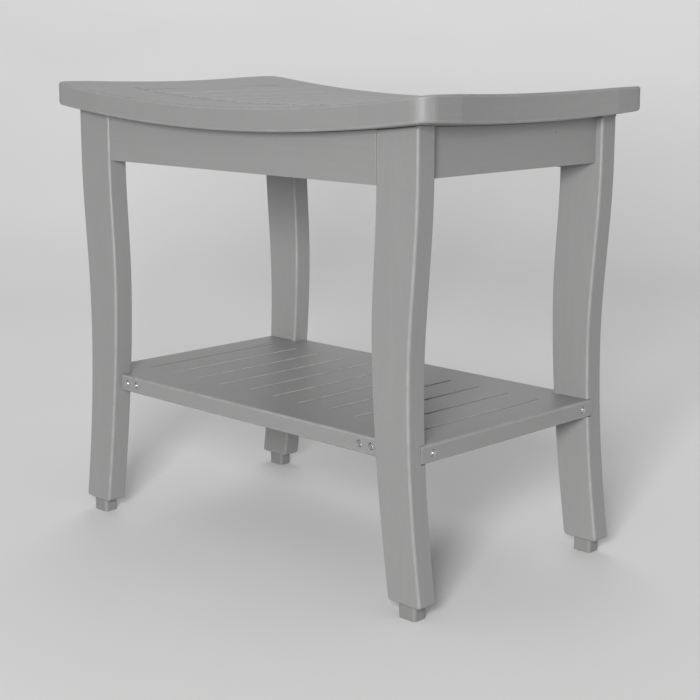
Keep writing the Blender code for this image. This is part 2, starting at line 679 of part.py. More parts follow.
def foot_meshes(cutters):
    """The pad, the swivelling stud and the threaded insert, drawn about the foot's own axis."""
    pad_top = LEG_BOTTOM - GAP
    pad = board("pad_master", rounded_rectangle(PAD_LENGTH, PAD_DEPTH, PAD_CORNER_RADIUS),
                0.0, pad_top, PAD_EDGE_RADIUS, cutters)
    hollows = (
        ("pad_key_hole", KEY_HOLE_RADIUS, -CUTTER_OVERRUN, STUD_HEAD_BOTTOM),
        ("pad_chamber", STUD_HEAD_RADIUS + GAP, STUD_HEAD_BOTTOM - GAP, STUD_HEAD_TOP + GAP),
        ("pad_neck", STUD_RADIUS + GAP, STUD_HEAD_TOP, pad_top + CUTTER_OVERRUN),
    )
    for name, radius, bottom, top in hollows:
        combine(pad, rod(name, radius, *foot_axis(bottom, top), ROUND_SIDES, cutters), "DIFFERENCE")
    settle(pad)

    stud = rod("stud_master", STUD_HEAD_RADIUS, *foot_axis(STUD_HEAD_BOTTOM, STUD_HEAD_TOP),
               ROUND_SIDES, cutters)
    shank = rod("stud_shank", STUD_RADIUS, *foot_axis((STUD_HEAD_BOTTOM + STUD_HEAD_TOP) / 2, STUD_TOP),
                ROUND_SIDES, cutters)
    socket = rod("stud_socket", STUD_SOCKET_RADIUS,
                 *foot_axis(STUD_HEAD_BOTTOM - CUTTER_OVERRUN, STUD_HEAD_BOTTOM + STUD_SOCKET_DEPTH),
                 HEX_SIDES, cutters)
    combine(stud, shank, "UNION")
    combine(stud, socket, "DIFFERENCE")
    settle(stud)

    insert_bottom = LEG_BOTTOM + GAP
    insert = rod("insert_master", INSERT_RADIUS,
                 *foot_axis(insert_bottom, insert_bottom + INSERT_LENGTH), ROUND_SIDES, cutters)
    hole = rod("insert_hole", STUD_RADIUS + GAP,
               *foot_axis(insert_bottom - CUTTER_OVERRUN, insert_bottom + INSERT_LENGTH + CUTTER_OVERRUN),
               ROUND_SIDES, cutters)
    combine(insert, hole, "DIFFERENCE")
    settle(insert)
    return {"foot_pad": pad, "foot_stud": stud, "leg_insert": insert}


def make_feet(parts, cutters):
    """A foot under each leg; every piece has its origin on the foot's upright axis."""
    masters = foot_meshes(cutters)
    made = {kind: [] for kind in masters}
    for depth_name, side_y in (("front", -1), ("back", 1)):
        for width_name, side_x in (("left", -1), ("right", 1)):
            for kind, master in masters.items():
                name = f"{kind}_{depth_name}_{width_name}"
                piece = bpy.data.objects.new(name, master.data)
                piece.location = (side_x * FOOT_X, side_y * FOOT_Y, 0.0)
                parts.objects.link(piece)
                made[kind].append(piece)
    for master in masters.values():
        bpy.data.objects.remove(master, do_unlink=True)
    return made


# ---- assembly --------------------------------------------------------------

def finish(pieces, material):
    for piece in pieces:
        piece.data.materials.clear()
        piece.data.materials.append(material)
        shade(piece.data)


def main():
    clear_scene()
    parts = new_collection("bath_bench")
    cutters = new_collection("bath_bench_cutters")
    wood = make_material(WOOD)
    steel = make_material(STEEL)
    finish(make_seat(parts, cutters), wood)
    finish(make_legs(parts, cutters), wood)
    finish(make_aprons(parts, cutters), wood)
    finish(make_shelf(parts, cutters), wood)
    finish(make_screws(parts, cutters), steel)
    feet = make_feet(parts, cutters)
    finish(feet["foot_pad"], make_material(RUBBER))
    finish(feet["foot_stud"], steel)
    finish(feet["leg_insert"], make_material(BRASS))
    for cutter in list(cutters.objects):
        bpy.data.objects.remove(cutter, do_unlink=True)
    bpy.data.collections.remove(cutters)


main()
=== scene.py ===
"""Looks of the slatted bath bench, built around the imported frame.

Every wooden board is made again as a fine mesh on its CAD node's place, with softened edges and
a grain that runs along it. The screws, pads and threaded studs are made again in detail too.
Units are metres, +Z is up and the front of the bench faces -Y.
"""
import math
import random

import bmesh
import bpy
from mathutils import Matrix, Vector


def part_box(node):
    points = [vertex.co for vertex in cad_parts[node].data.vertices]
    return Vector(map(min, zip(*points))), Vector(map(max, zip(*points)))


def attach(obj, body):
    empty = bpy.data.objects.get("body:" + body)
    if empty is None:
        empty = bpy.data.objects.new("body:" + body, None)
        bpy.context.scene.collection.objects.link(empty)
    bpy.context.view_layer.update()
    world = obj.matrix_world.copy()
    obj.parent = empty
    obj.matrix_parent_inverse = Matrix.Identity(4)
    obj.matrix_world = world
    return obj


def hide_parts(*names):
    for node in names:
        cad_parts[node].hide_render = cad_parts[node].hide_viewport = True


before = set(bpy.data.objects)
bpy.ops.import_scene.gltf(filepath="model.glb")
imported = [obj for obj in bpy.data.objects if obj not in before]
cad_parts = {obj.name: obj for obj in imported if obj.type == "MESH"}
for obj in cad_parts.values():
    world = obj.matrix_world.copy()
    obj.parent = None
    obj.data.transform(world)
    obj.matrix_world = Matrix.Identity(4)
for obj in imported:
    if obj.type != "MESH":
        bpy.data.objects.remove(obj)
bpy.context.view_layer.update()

# ---- sizes read from the frame ---------------------------------------------

END_LOW, END_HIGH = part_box("seat_right_end_board")
RAIL_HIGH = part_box("seat_front_rail")[1]
FIRST_SLAT_LOW, FIRST_SLAT_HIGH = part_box("seat_slat_01")
SECOND_SLAT_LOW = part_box("seat_slat_02")[0]
LEG_LOW, LEG_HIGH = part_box("leg_back_right")
LONG_APRON_LOW, LONG_APRON_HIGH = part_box("apron_back")
SHORT_APRON_LOW, SHORT_APRON_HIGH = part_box("apron_left")
SHELF_RAIL_LOW, SHELF_RAIL_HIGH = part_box("shelf_back_rail")
SHELF_END_LOW, SHELF_END_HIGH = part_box("shelf_right_end_board")
PAD_LOW, PAD_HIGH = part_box("foot_pad_back_right")
STUD_LOW, STUD_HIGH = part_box("foot_stud_back_right")
INSERT_LOW, INSERT_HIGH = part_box("leg_insert_back_right")

GAP = 0.0003
FLUSH = 0.00005
SLATS = 10
SEAT_LENGTH = 2 * END_HIGH.x
SEAT_DEPTH = 2 * END_HIGH.y
SEAT_SLAT_PITCH = SECOND_SLAT_LOW.x - FIRST_SLAT_LOW.x
SLAT_SPACING = SEAT_SLAT_PITCH - (FIRST_SLAT_HIGH.x - FIRST_SLAT_LOW.x)
SEAT_PANEL_HALF_DEPTH = -RAIL_HIGH.y - GAP
SHELF_TOP = SHELF_RAIL_HIGH.z
SHELF_THICKNESS = SHELF_RAIL_HIGH.z - SHELF_RAIL_LOW.z
SHELF_JOINT = SHELF_END_LOW.x - SLAT_SPACING / 2
SHELF_SLAT_PITCH = 2 * SHELF_JOINT / SLATS
SHELF_SLAT_HALF_LENGTH = SHELF_RAIL_LOW.y - GAP
LEG_INNER_FACE = LEG_LOW.y
LEG_THICKNESS = LEG_HIGH.y - LEG_LOW.y
FOOT_X = (PAD_LOW.x + PAD_HIGH.x) / 2
FOOT_Y = (PAD_LOW.y + PAD_HIGH.y) / 2

# ---- shape values that a box can't give --------------------------------------

SEAT_THICKNESS = 0.0222
SEAT_TOP_AT_ENDS = 0.4580
SEAT_SAG = 0.0173
SEAT_END_DISH = 0.0017
SEAT_END_BELLY = 0.0055
SEAT_END_HOLLOW = 0.0084
SEAT_HOLLOW_HALF_WIDTH = 0.112
SEAT_CORNER_RADIUS = 0.017
SEAT_EDGE_RADIUS = 0.0024
SEAT_PANEL_LENGTH = 0.4066
SEAT_PANEL_RISE = 0.0010
TONGUE_LENGTH = 0.0070
TONGUE_THICKNESS = 0.0060
LEG_EDGE_RADIUS = 0.0023
LEG_OUTER_FOOT = 0.2425
LEG_INNER_FOOT = 0.2039
LEG_FOOT_SPLAY = 0.15
LEG_FOOT_STRAIGHT = 0.07
LEG_FOOT_CORNER = 0.0035
LEG_OUTER_WAIST = (0.2263, 0.215)
LEG_INNER_WAIST = (0.1818, 0.255)
LEG_OUTER_SHOULDER = (0.2350, 0.385)
LEG_INNER_SHOULDER = (0.1865, 0.376)
LEG_TOP_BLANK = 0.4250
NAIL_HOLE_RADIUS = 0.0009
NAIL_HOLE_DEPTH = 0.004
NAIL_HOLE_PLACE = (0.0573, 0.4180)
SHELF_EDGE_RADIUS = 0.0022
SHELF_RAIL_HALF_LENGTH = 0.1854
SCREW_SINK = 0.0010
SCREW_HEAD_RADIUS = 0.0031
SCREW_HEAD_HEIGHT = 0.0024
SCREW_SHANK_RADIUS = 0.0020
RECESS_DEPTH = 0.0016
RECESS_WIDTH = 0.0010
RECESS_SPAN = 0.0042
RECESS_TURN = 8
RECESS_FOOT = (0.35, 0.7)
RECESS_MOUTH = (1.6, 1.1)
SCREW_DOME = 0.00072
SCREW_DOME_STEPS = 6
SCREW_POINT = 0.001
SCREW_TAPER = 0.006
SCREW_SIDES = 32
FRONT_SCREW_LENGTH = 0.058
FRONT_SCREW_PLACES = (0.1612, 0.1755)
SIDE_SCREW_LENGTH = 0.047
SIDE_SCREW_PLACE = 0.1096
THREAD_PITCH = 0.00125
THREAD_DEPTH = 0.0006
STUD_RADIUS = 0.0040
STUD_HEAD_RADIUS = 0.0052
STUD_HEAD_TOP = 0.0078
STUD_SOCKET_RADIUS = 0.0023
STUD_SOCKET_DEPTH = 0.0030
STUD_CHAMFER = 0.0003
STUD_NECK = 0.0010
STUD_LEAD_IN = 0.0006
INSERT_BITE = 0.0007
INSERT_LIP = 0.0004
INSERT_RING_SPACING = 0.0025
KEY_HOLE_RADIUS = 0.0028
PAD_CORNER_RADIUS = 0.0030
PAD_EDGE_RADIUS = 0.0008
PAD_GROOVE = 0.0008
PAD_GROOVE_PLACES = (-0.0072, -0.0048, 0.0048, 0.0072)

# ---- fineness ----------------------------------------------------------------

ROUND_SIDES = 48
EDGE_STEPS = 4
CURVE_STEPS = 24
CORNER_STEPS = 12
PAD_CORNER_STEPS = 8
HOLLOW_STEPS = 24
SADDLE_STEP = 0.006
ARRIS = 0.0006
SLAT_ARRIS = 0.0008
ARRIS_STEPS = 2
STUD_SIDES = 36
THREAD_ROWS = 8
CUTTER_OVERRUN = 0.002
WELD = 0.00001
ROUND_HANDLE = 0.55
FLAT = 0.001
SMOOTH_ANGLE = math.radians(38)
ARRIS_ANGLE = math.radians(42)
# Convex rounded edges are lightened in colour: partly wear, partly a painted highlight on the edges; the
# slats get the most.
WEAR_AND_HIGHLIGHT_LIMIT = math.radians(60)
WEAR_AND_HIGHLIGHT_FULL = math.radians(25)
SLAT_WEAR_AND_HIGHLIGHT = 0.9
EDGE_WEAR_AND_HIGHLIGHT = 0.4
WEAR_AND_HIGHLIGHT_WIDTH = 0.0012

SEED = 11


# ---- solids ------------------------------------------------------------------

def object_from_bmesh(name, bm):
    mesh = bpy.data.meshes.new(name)
    bm.to_mesh(mesh)
    bm.free()
    obj = bpy.data.objects.new(name, mesh)
    bpy.context.scene.collection.objects.link(obj)
    return obj


def box(name, low, high):
    low, high = Vector(low), Vector(high)
    bm = bmesh.new()
    bmesh.ops.create_cube(bm, size=1.0)
    bmesh.ops.scale(bm, vec=high - low, verts=bm.verts)
    bmesh.ops.translate(bm, vec=(low + high) / 2, verts=bm.verts)
    return object_from_bmesh(name, bm)


def rod(name, radius, start, end, sides=ROUND_SIDES, end_radius=None):
    """A cylinder or a cone frustum between two points on its axis."""
    start, end = Vector(start), Vector(end)
    along = end - start
    bm = bmesh.new()
    bmesh.ops.create_cone(bm, cap_ends=True, segments=sides, radius1=radius,
                          radius2=radius if end_radius is None else end_radius, depth=along.length)
    turn = along.to_track_quat("Z", "Y").to_matrix().to_4x4()
    bmesh.ops.transform(bm, matrix=Matrix.Translation((start + end) / 2) @ turn, verts=bm.verts)
    return object_from_bmesh(name, bm)


def flat_curve(name, thickness, edge_radius):
    curve = bpy.data.curves.new(name, "CURVE")
    curve.dimensions = "2D"
    curve.fill_mode = "BOTH"
    curve.extrude = thickness / 2 - edge_radius
    curve.bevel_depth = edge_radius
    curve.bevel_resolution = EDGE_STEPS
    curve.offset = -edge_radius
    curve.resolution_u = CURVE_STEPS
    return curve


def solid_from_curve(curve):
    """Turn an extruded outline into one welded mesh, with its flat faces whole."""
    source = bpy.data.objects.new(curve.name, curve)
    bpy.context.scene.collection.objects.link(source)
    bpy.context.view_layer.update()
    depsgraph = bpy.context.evaluated_depsgraph_get()
    mesh = bpy.data.meshes.new_from_object(source.evaluated_get(depsgraph))
    bm = bmesh.new()
    bm.from_mesh(mesh)
    bpy.data.objects.remove(source, do_unlink=True)
    bpy.data.meshes.remove(mesh)
    clean(bm)
    bmesh.ops.recalc_face_normals(bm, faces=bm.faces)
    return bm


def clean(bm):
    """Weld loose seams and merge triangles that lie in one plane."""
    bmesh.ops.remove_doubles(bm, verts=bm.verts, dist=WELD)
    bmesh.ops.dissolve_limit(bm, angle_limit=FLAT, verts=bm.verts, edges=bm.edges)


def board(name, outline, bottom, thickness, edge_radius):
    curve = flat_curve(name, thickness, edge_radius)
    spline = curve.splines.new("POLY")
    spline.points.add(len(outline) - 1)
    for point, (x, y) in zip(spline.points, outline):
        point.co = (x, y, 0.0, 1.0)
    spline.use_cyclic_u = True
    bm = solid_from_curve(curve)
    bmesh.ops.translate(bm, vec=(0.0, 0.0, bottom + thickness / 2), verts=bm.verts)
    return object_from_bmesh(name, bm)


def combine(obj, other, operation="DIFFERENCE"):
    modifier = obj.modifiers.new(f"{operation.lower()}_{other.name}", "BOOLEAN")
    modifier.operation = operation
    modifier.solver = "EXACT"
    modifier.object = other


def evaluated_bmesh(obj):
    bpy.context.view_layer.update()
    depsgraph = bpy.context.evaluated_depsgraph_get()
    finished = bpy.data.meshes.new_from_object(obj.evaluated_get(depsgraph))
    obj.modifiers.clear()
    bm = bmesh.new()
    bm.from_mesh(finished)
    bpy.data.meshes.remove(finished)
    return bm


def settle(obj):
    """Replace an object's mesh with the result of its modifiers, and drop its cutters."""
    cutters = [modifier.object for modifier in obj.modifiers if modifier.type == "BOOLEAN"]
    bm = evaluated_bmesh(obj)
    clean(bm)
    bm.to_mesh(obj.data)
    bm.free()
    for cutter in cutters:
        if cutter.get("keep") is None:
            bpy.data.objects.remove(cutter, do_unlink=True)


def keep(obj):
    """Mark a cutter that more than one piece uses."""
    obj["keep"] = True
    return obj


def soften(obj, width=ARRIS, joints=()):
    """Round the edges that are still sharp, as sanding does, but not where pieces meet flush.

    Each joint is an axis number and the places on that axis where this piece meets others.
    """
    bm = bmesh.new()
    bm.from_mesh(obj.data)
    sharp = []
    for edge in bm.edges:
        if not edge.is_manifold or edge.calc_face_angle() < ARRIS_ANGLE:
            continue
        flush = any(all(abs(vert.co[axis] - place) < GAP for vert in edge.verts)
                    for axis, places in joints for place in places)
        if not flush:
            sharp.append(edge)
    bmesh.ops.bevel(bm, geom=sharp, offset=width, segments=ARRIS_STEPS, profile=0.5,
                    affect="EDGES", clamp_overlap=True)
    bmesh.ops.remove_doubles(bm, verts=bm.verts, dist=WELD)
    bm.to_mesh(obj.data)
    bm.free()


def mirrored_copy(obj, name, side_x, side_y):
    mesh = obj.data.copy()
    mesh.name = name
    mesh.transform(Matrix.Diagonal((side_x, side_y, 1.0, 1.0)))
    if side_x * side_y < 0:
        mesh.flip_normals()
    copy = bpy.data.objects.new(name, mesh)
    bpy.context.scene.collection.objects.link(copy)
    return copy


def slice_across(bm, axis, stations):
    normal = Vector((0.0, 0.0, 0.0))
    normal[axis] = 1.0
    for station in stations:
        everything = bm.verts[:] + bm.edges[:] + bm.faces[:]
        bmesh.ops.bisect_plane(bm, geom=everything, plane_co=normal * station, plane_no=normal)


def stations_between(low, high, step):
    count = max(2, math.ceil((high - low) / step))
    return [low + (high - low) * i / count for i in range(1, count)]


# ---- shape of the seat -------------------------------------------------------

def lift(x):
    return (2 * x / SEAT_LENGTH) ** 2


def across(y):
    return 1 - (2 * y / SEAT_DEPTH) ** 2


def seat_top(x, y):
    return SEAT_TOP_AT_ENDS - SEAT_SAG + lift(x) * (SEAT_SAG - SEAT_END_DISH * across(y) ** 2)


def seat_bottom(x, y):
    middle = SEAT_TOP_AT_ENDS - SEAT_SAG - SEAT_THICKNESS
    return middle + lift(x) * (SEAT_SAG - SEAT_END_BELLY * across(y))


def bend_to_saddle(obj, x_span, y_span=None):
    """Bend a flat seat piece, drawn from z = 0 up, to the curves of the seat."""
    bm = bmesh.new()
    bm.from_mesh(obj.data)
    slice_across(bm, 0, stations_between(*x_span, SADDLE_STEP))
    if y_span:
        slice_across(bm, 1, stations_between(*y_span, 2 * SADDLE_STEP))
    for vert in bm.verts:
        x, y, height = vert.co
        low, high = seat_bottom(x, y), seat_top(x, y)
        vert.co.z = low + (high - low) * height / SEAT_THICKNESS
    bm.to_mesh(obj.data)
    bm.free()


def tuck_under_seat(obj, x_stations, y_stations):
    """Shape the flat top of a leg or an apron to the underside of the seat."""
    bm = bmesh.new()
    bm.from_mesh(obj.data)
    slice_across(bm, 0, x_stations)
    slice_across(bm, 1, y_stations)
    for vert in bm.verts:
        if vert.co.z > LEG_TOP_BLANK - LEG_EDGE_RADIUS - FLAT:
            vert.co.z += seat_bottom(vert.co.x, vert.co.y) - GAP - LEG_TOP_BLANK
    bm.to_mesh(obj.data)
    bm.free()


# ---- wooden pieces -----------------------------------------------------------

def seat_outline():
    half_length, half_depth = SEAT_LENGTH / 2, SEAT_DEPTH / 2
    radius = SEAT_CORNER_RADIUS
    angles = [math.pi / 2 * step / CORNER_STEPS for step in range(CORNER_STEPS + 1)]
    quarter = [(half_length - radius + radius * math.sin(angle),
                -half_depth + radius - radius * math.cos(angle)) for angle in angles]
    step = 2 * SEAT_HOLLOW_HALF_WIDTH / HOLLOW_STEPS
    across_hollow = [-SEAT_HOLLOW_HALF_WIDTH + step * count for count in range(HOLLOW_STEPS + 1)]
    hollow = [(half_length - SEAT_END_HOLLOW * (1 - (y / SEAT_HOLLOW_HALF_WIDTH) ** 2), y)
              for y in across_hollow]
    right = quarter + hollow + [(x, -y) for x, y in reversed(quarter)]
    return right + [(-x, -y) for x, y in right]


def slat_centre(index, pitch):
    return (index - (SLATS - 1) / 2) * pitch


def slot_cutter(name, half_length, inner_edge, height):
    half = TONGUE_THICKNESS / 2
    return box(name, (-half_length - CUTTER_OVERRUN, -inner_edge - TONGUE_LENGTH, height - half),
               (half_length + CUTTER_OVERRUN, -inner_edge + CUTTER_OVERRUN, height + half))


def make_slat(name, index, pitch, half_length, levels, tongue_height):
    centre = slat_centre(index, pitch)
    half_width = (pitch - SLAT_SPACING) / 2
    bottom, top = levels
    slat = box(name, (centre - half_width, -half_length, bottom),
               (centre + half_width, half_length, top))
    reach = half_length + TONGUE_LENGTH - 2 * GAP
    half_tongue = TONGUE_THICKNESS / 2 - GAP
    tongue = box(f"{name}_tongue", (centre - half_width, -reach, tongue_height - half_tongue),
                 (centre + half_width, reach, tongue_height + half_tongue))
    combine(slat, tongue, "UNION")
    return slat


def make_seat():
    blank = keep(board("seat_blank", seat_outline(), 0.0, SEAT_THICKNESS, SEAT_EDGE_RADIUS))
    panel_x, panel_y = SEAT_PANEL_LENGTH / 2, SEAT_PANEL_HALF_DEPTH
    frame_x = END_LOW.x
    over = SEAT_THICKNESS + CUTTER_OVERRUN

    rail = box("seat_front_rail_made", (-frame_x + FLUSH, -SEAT_DEPTH, -CUTTER_OVERRUN),
               (frame_x - FLUSH, -panel_y - FLUSH, over))
    combine(rail, blank, "INTERSECT")
    combine(rail, slot_cutter("seat_slot", frame_x, panel_y, SEAT_THICKNESS / 2))
    settle(rail)
    end_board = box("seat_right_end_board_made", (frame_x, -SEAT_DEPTH, -CUTTER_OVERRUN),
                    (SEAT_LENGTH, SEAT_DEPTH, over))
    combine(end_board, blank, "INTERSECT")
    land = box("seat_land", (frame_x, -panel_y, SEAT_THICKNESS / 2),
               (panel_x, panel_y, SEAT_THICKNESS + SEAT_PANEL_RISE))
    combine(end_board, land, "UNION")
    settle(end_board)
    bpy.data.objects.remove(blank, do_unlink=True)

    made = {}
    for index in range(SLATS):
        name = f"seat_slat_{index + 1:02d}"
        slat = make_slat(f"{name}_made", index, SEAT_SLAT_PITCH, panel_y,
                         (0.0, SEAT_THICKNESS + SEAT_PANEL_RISE), SEAT_THICKNESS / 2)
        settle(slat)
        soften(slat, SLAT_ARRIS)
        centre = slat_centre(index, SEAT_SLAT_PITCH)
        bend_to_saddle(slat, (centre - SEAT_SLAT_PITCH / 2, centre + SEAT_SLAT_PITCH / 2))
        made[name] = slat
    soften(rail, ARRIS, [(0, (-frame_x, frame_x)), (1, (-panel_y,))])
    soften(end_board, ARRIS, [(0, (frame_x,))])
    bend_to_saddle(rail, (-frame_x, frame_x))
    bend_to_saddle(end_board, (frame_x, SEAT_LENGTH / 2), (-SEAT_DEPTH / 2, SEAT_DEPTH / 2))
    made["seat_front_rail"] = rail
    made["seat_right_end_board"] = end_board
    made["seat_back_rail"] = mirrored_copy(rail, "seat_back_rail_made", 1, -1)
    made["seat_left_end_board"] = mirrored_copy(end_board, "seat_left_end_board_made", -1, 1)
    return made


def foot_corner_knots(x, inward):
    """Two curve knots that round a corner of the foot; inward is the bottom edge's direction."""
    corner = Vector((x, LEG_LOW.z, 0.0))
    up = Vector((-LEG_FOOT_SPLAY, 1.0, 0.0))
    on_edge = corner + up * LEG_FOOT_CORNER
    on_bottom = corner + Vector((inward * LEG_FOOT_CORNER, 0.0, 0.0))
    edge_knot = (on_edge, on_edge.lerp(corner, ROUND_HANDLE), on_edge + up * LEG_FOOT_STRAIGHT)
    bottom_knot = (on_bottom, on_bottom, on_bottom.lerp(corner, ROUND_HANDLE))
    return edge_knot, bottom_knot


def side_knots(places):
    """Knots up or down one side of the leg, where the edge passes each place upright."""
    knots = []
    for before, place, after in zip(places, places[1:], places[2:]):
        x, z = place
        knots.append((Vector((x, z, 0.0)), Vector((x, z + (before[1] - z) / 3, 0.0)),
                      Vector((x, z + (after[1] - z) / 3, 0.0))))
    return knots


def leg_curve():
    """Side view of a leg, drawn in the curve's own X and Y, which become X and Z."""
    outer_top = (LEG_OUTER_SHOULDER[0], LEG_TOP_BLANK)
    inner_top = (LEG_INNER_SHOULDER[0], LEG_TOP_BLANK)
    outer_edge, outer_bottom = foot_corner_knots(LEG_OUTER_FOOT, -1)
    inner_edge, inner_bottom = foot_corner_knots(LEG_INNER_FOOT, 1)
    outer_places = [(LEG_OUTER_FOOT, LEG_LOW.z), LEG_OUTER_WAIST, LEG_OUTER_SHOULDER, outer_top]
    inner_places = [inner_top, LEG_INNER_SHOULDER, LEG_INNER_WAIST, (LEG_INNER_FOOT, LEG_LOW.z)]
    top_knots = [(Vector((*place, 0.0)),) * 3 for place in (outer_top, inner_top)]
    knots = [outer_bottom, outer_edge, *side_knots(outer_places), *top_knots,
             *side_knots(inner_places), (inner_edge[0], inner_edge[2], inner_edge[1]),
             (inner_bottom[0], inner_bottom[2], inner_bottom[1])]
    curve = flat_curve("leg_outline", LEG_THICKNESS, LEG_EDGE_RADIUS)
    spline = curve.splines.new("BEZIER")
    spline.bezier_points.add(len(knots) - 1)
    for point, (place, handle_before, handle_after) in zip(spline.bezier_points, knots):
        point.handle_left_type = "FREE"
        point.handle_right_type = "FREE"
        point.co = place
        point.handle_left = handle_before
        point.handle_right = handle_after
    spline.use_cyclic_u = True
    return curve


def make_legs():
    bm = solid_from_curve(leg_curve())
    stand_up = Matrix.Rotation(math.radians(90), 4, "X")
    place = Matrix.Translation((0.0, LEG_HIGH.y - LEG_THICKNESS / 2, 0.0))
    bmesh.ops.transform(bm, matrix=place @ stand_up, verts=bm.verts)
    leg = object_from_bmesh("leg_back_right_made", bm)
    housing = box("shelf_housing",
                  (SHELF_END_LOW.x - GAP, LEG_INNER_FACE - CUTTER_OVERRUN, SHELF_END_LOW.z - GAP),
                  (LEG_HIGH.x, SHELF_END_HIGH.y + GAP, SHELF_END_HIGH.z + GAP))
    insert_bore = rod("insert_bore", (INSERT_HIGH.x - INSERT_LOW.x) / 2 + GAP,
                      (FOOT_X, FOOT_Y, LEG_LOW.z - CUTTER_OVERRUN),
                      (FOOT_X, FOOT_Y, STUD_HIGH.z + CUTTER_OVERRUN))
    combine(leg, housing)
    combine(leg, insert_bore)
    settle(leg)
    tuck_under_seat(leg, [(LEG_OUTER_SHOULDER[0] + LEG_INNER_SHOULDER[0]) / 2], [])
    return {
        "leg_back_right": leg,
        "leg_back_left": mirrored_copy(leg, "leg_back_left_made", -1, 1),
        "leg_front_right": mirrored_copy(leg, "leg_front_right_made", 1, -1),
        "leg_front_left": mirrored_copy(leg, "leg_front_left_made", -1, -1),
    }


def make_aprons():
    long_half = LEG_INNER_SHOULDER[0] - GAP
    back = box("apron_back_made", (-long_half, LONG_APRON_LOW.y, LONG_APRON_LOW.z),
               (long_half, LONG_APRON_HIGH.y, LEG_TOP_BLANK))
    soften(back)
    tuck_under_seat(back, stations_between(-long_half, long_half, 2 * SADDLE_STEP), [])
    short_half = LEG_INNER_FACE - GAP
    outer = -SHORT_APRON_LOW.x
    inner = -SHORT_APRON_HIGH.x
    right = box("apron_right_made", (inner, -short_half, SHORT_APRON_LOW.z),
                (outer, short_half, LEG_TOP_BLANK))
    left = mirrored_copy(right, "apron_left_made", -1, 1)
    nail_y, nail_z = NAIL_HOLE_PLACE
    combine(right, rod("nail_hole", NAIL_HOLE_RADIUS, (outer - NAIL_HOLE_DEPTH, nail_y, nail_z),
                       (outer + CUTTER_OVERRUN, nail_y, nail_z), 16))
    settle(right)
    for apron in (left, right):
        soften(apron, ARRIS / 2)
        tuck_under_seat(apron, [], stations_between(-short_half, short_half, 2 * SADDLE_STEP))
    return {"apron_back": back, "apron_right": right, "apron_left": left,
            "apron_front": mirrored_copy(back, "apron_front_made", 1, -1)}


def shelf_outline():
    corner = [
        (SHELF_RAIL_HALF_LENGTH, SHELF_RAIL_HIGH.y),
        (SHELF_RAIL_HALF_LENGTH, LEG_INNER_FACE - GAP),
        (SHELF_JOINT, LEG_INNER_FACE - GAP),
        (SHELF_JOINT, SHELF_END_HIGH.y),
        (SHELF_END_HIGH.x, SHELF_END_HIGH.y),
    ]
    right = corner + [(x, -y) for x, y in reversed(corner)]
    return right + [(-x, -y) for x, y in right]


def screw_axis(index):
    """Where each of a corner's three screws starts, which way it runs, and its length."""
    height = SHELF_TOP - SHELF_THICKNESS / 2
    if index < len(FRONT_SCREW_PLACES):
        start = Vector((FRONT_SCREW_PLACES[index], SHELF_RAIL_HIGH.y - SCREW_SINK, height))
        return start, Vector((0.0, -1.0, 0.0)), FRONT_SCREW_LENGTH
    start = Vector((SHELF_END_HIGH.x - SCREW_SINK, SIDE_SCREW_PLACE, height))
    return start, Vector((-1.0, 0.0, 0.0)), SIDE_SCREW_LENGTH


def counterbore(index, side_x, side_y):
    start, along, length = screw_axis(index)
    hole = rod(f"counterbore_{index}_{side_x}_{side_y}", SCREW_HEAD_RADIUS + GAP,
               start - along * CUTTER_OVERRUN, start + along * (SCREW_HEAD_HEIGHT + GAP))
    copy = mirrored_copy(hole, f"{hole.name}_placed", side_x, side_y)
    bpy.data.objects.remove(hole, do_unlink=True)
    return copy


def make_shelf():
    bottom = SHELF_TOP - SHELF_THICKNESS
    middle = SHELF_TOP - SHELF_THICKNESS / 2
    below, above = bottom - CUTTER_OVERRUN, SHELF_TOP + CUTTER_OVERRUN
    blank = keep(board("shelf_blank", shelf_outline(), bottom, SHELF_THICKNESS, SHELF_EDGE_RADIUS))
    rail_end = SHELF_END_LOW.x - FLUSH
    rail = box("shelf_back_rail_made", (-rail_end, SHELF_SLAT_HALF_LENGTH + FLUSH, below),
               (rail_end, LEG_HIGH.y, above))
    combine(rail, blank, "INTERSECT")
    slot = slot_cutter("shelf_slot", rail_end, SHELF_SLAT_HALF_LENGTH, middle)
    combine(rail, mirrored_copy(slot, "shelf_back_slot", 1, -1))
    bpy.data.objects.remove(slot, do_unlink=True)
    for index in range(len(FRONT_SCREW_PLACES)):
        combine(rail, counterbore(index, 1, 1))
        combine(rail, counterbore(index, -1, 1))
    settle(rail)
    end_board = box("shelf_right_end_board_made", (SHELF_END_LOW.x, -LEG_HIGH.y, below),
                    (SHELF_END_HIGH.x + CUTTER_OVERRUN, LEG_HIGH.y, above))
    combine(end_board, blank, "INTERSECT")
    combine(end_board, counterbore(2, 1, 1))
    combine(end_board, counterbore(2, 1, -1))
    settle(end_board)
    bpy.data.objects.remove(blank, do_unlink=True)
    soften(rail, ARRIS / 2, [(0, (-rail_end, rail_end)), (1, (SHELF_SLAT_HALF_LENGTH,))])
    soften(end_board, ARRIS / 2, [(0, (SHELF_END_LOW.x,))])
    made = {"shelf_back_rail": rail, "shelf_right_end_board": end_board,
            "shelf_front_rail": mirrored_copy(rail, "shelf_front_rail_made", 1, -1),
            "shelf_left_end_board": mirrored_copy(end_board, "shelf_left_end_board_made", -1, 1)}
    for index in range(SLATS):
        name = f"shelf_slat_{index + 1:02d}"
        slat = make_slat(f"{name}_made", index, SHELF_SLAT_PITCH, SHELF_SLAT_HALF_LENGTH,
                         (bottom, SHELF_TOP), middle)
        settle(slat)
        soften(slat, SLAT_ARRIS, [(1, (-SHELF_SLAT_HALF_LENGTH, SHELF_SLAT_HALF_LENGTH))])
        made[name] = slat
    return made


# ---- metal and rubber pieces -------------------------------------------------

